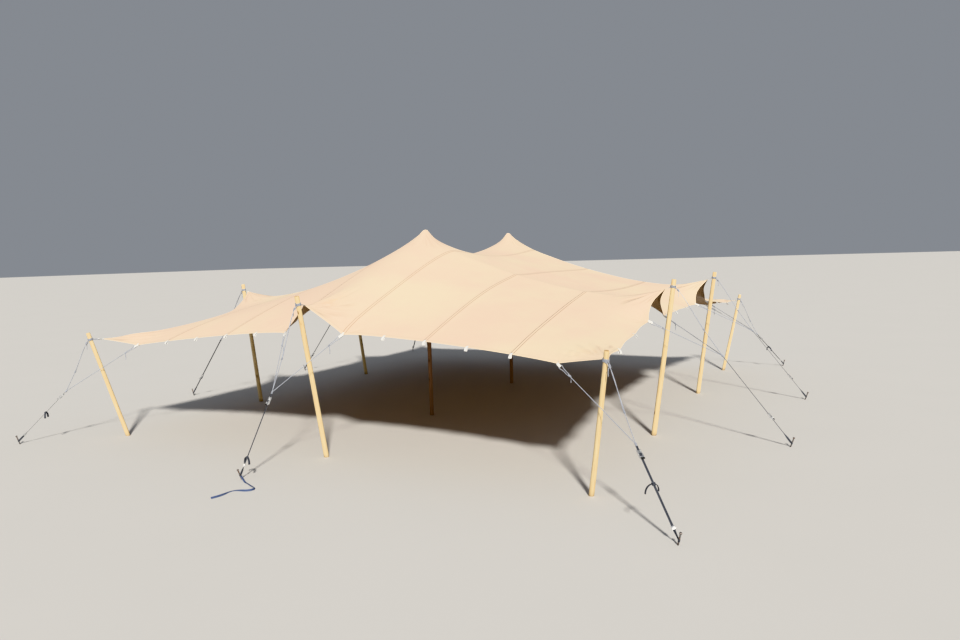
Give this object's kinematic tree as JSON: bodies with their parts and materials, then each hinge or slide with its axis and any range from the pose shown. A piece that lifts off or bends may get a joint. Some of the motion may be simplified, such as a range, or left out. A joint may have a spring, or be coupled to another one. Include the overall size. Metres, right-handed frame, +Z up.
{
  "type": "stretch tent",
  "caption": "Stretch tent: cream elastic cloth peaked over upright main poles and held out by leaning wooden edge poles, guy ropes, ratchet straps and ground stakes.",
  "frame": {"origin": "on the ground under the middle of the cloth, midway between the main poles", "axes": "+X to the right along the front edge, +Y from the front edge to the back edge, +Z up"},
  "size_m": [15.3546, 16.2171, 4.257],
  "materials": {
    "canopy_cloth": "matte coated stretch knit, cream to peach, with welded roll seams",
    "pole_wood": "pale debarked round wood",
    "cap_rubber": "matte",
    "guy_rope": "braided off-white rope",
    "strap_webbing": "dark polyester webbing with a plated ratchet",
    "stake_steel": "galvanised, scuffed"
  },
  "bodies": {
    "root": {"canopy": "canopy_cloth", "main_pole_front": "pole_wood", "main_pole_cap_front": "cap_rubber", "main_pole_back": "pole_wood", "main_pole_cap_back": "cap_rubber", "corner_front_left_pole": "pole_wood", "corner_front_left_ropes": "guy_rope", "corner_front_left_strap": "strap_webbing", "corner_front_left_stake": "stake_steel", "corner_front_right_pole": "pole_wood", "corner_front_right_ropes": "guy_rope", "corner_front_right_strap": "strap_webbing", "corner_front_right_stake": "stake_steel", "corner_back_left_pole": "pole_wood", "corner_back_left_ropes": "guy_rope", "corner_back_left_strap": "strap_webbing", "corner_back_left_stake": "stake_steel", "corner_back_right_pole": "pole_wood", "corner_back_right_ropes": "guy_rope", "corner_back_right_strap": "strap_webbing", "corner_back_right_stake": "stake_steel", "side_front_left_pole": "pole_wood", "side_front_left_ropes": "guy_rope", "side_front_left_strap": "strap_webbing", "side_front_left_stake": "stake_steel", "side_front_right_pole": "pole_wood", "side_front_right_ropes": "guy_rope", "side_front_right_strap": "strap_webbing", "side_front_right_stake": "stake_steel", "side_back_left_pole": "pole_wood", "side_back_left_ropes": "guy_rope", "side_back_left_strap": "strap_webbing", "side_back_left_stake": "stake_steel", "side_back_right_pole": "pole_wood", "side_back_right_ropes": "guy_rope", "side_back_right_strap": "strap_webbing", "side_back_right_stake": "stake_steel", "middle_front_pole": "pole_wood", "middle_front_ropes": "guy_rope", "middle_front_strap": "strap_webbing", "middle_front_stake": "stake_steel", "middle_back_pole": "pole_wood", "middle_back_ropes": "guy_rope", "middle_back_strap": "strap_webbing", "middle_back_stake": "stake_steel", "middle_front_strap_tail": "strap_webbing"}
  },
  "joints": []
}
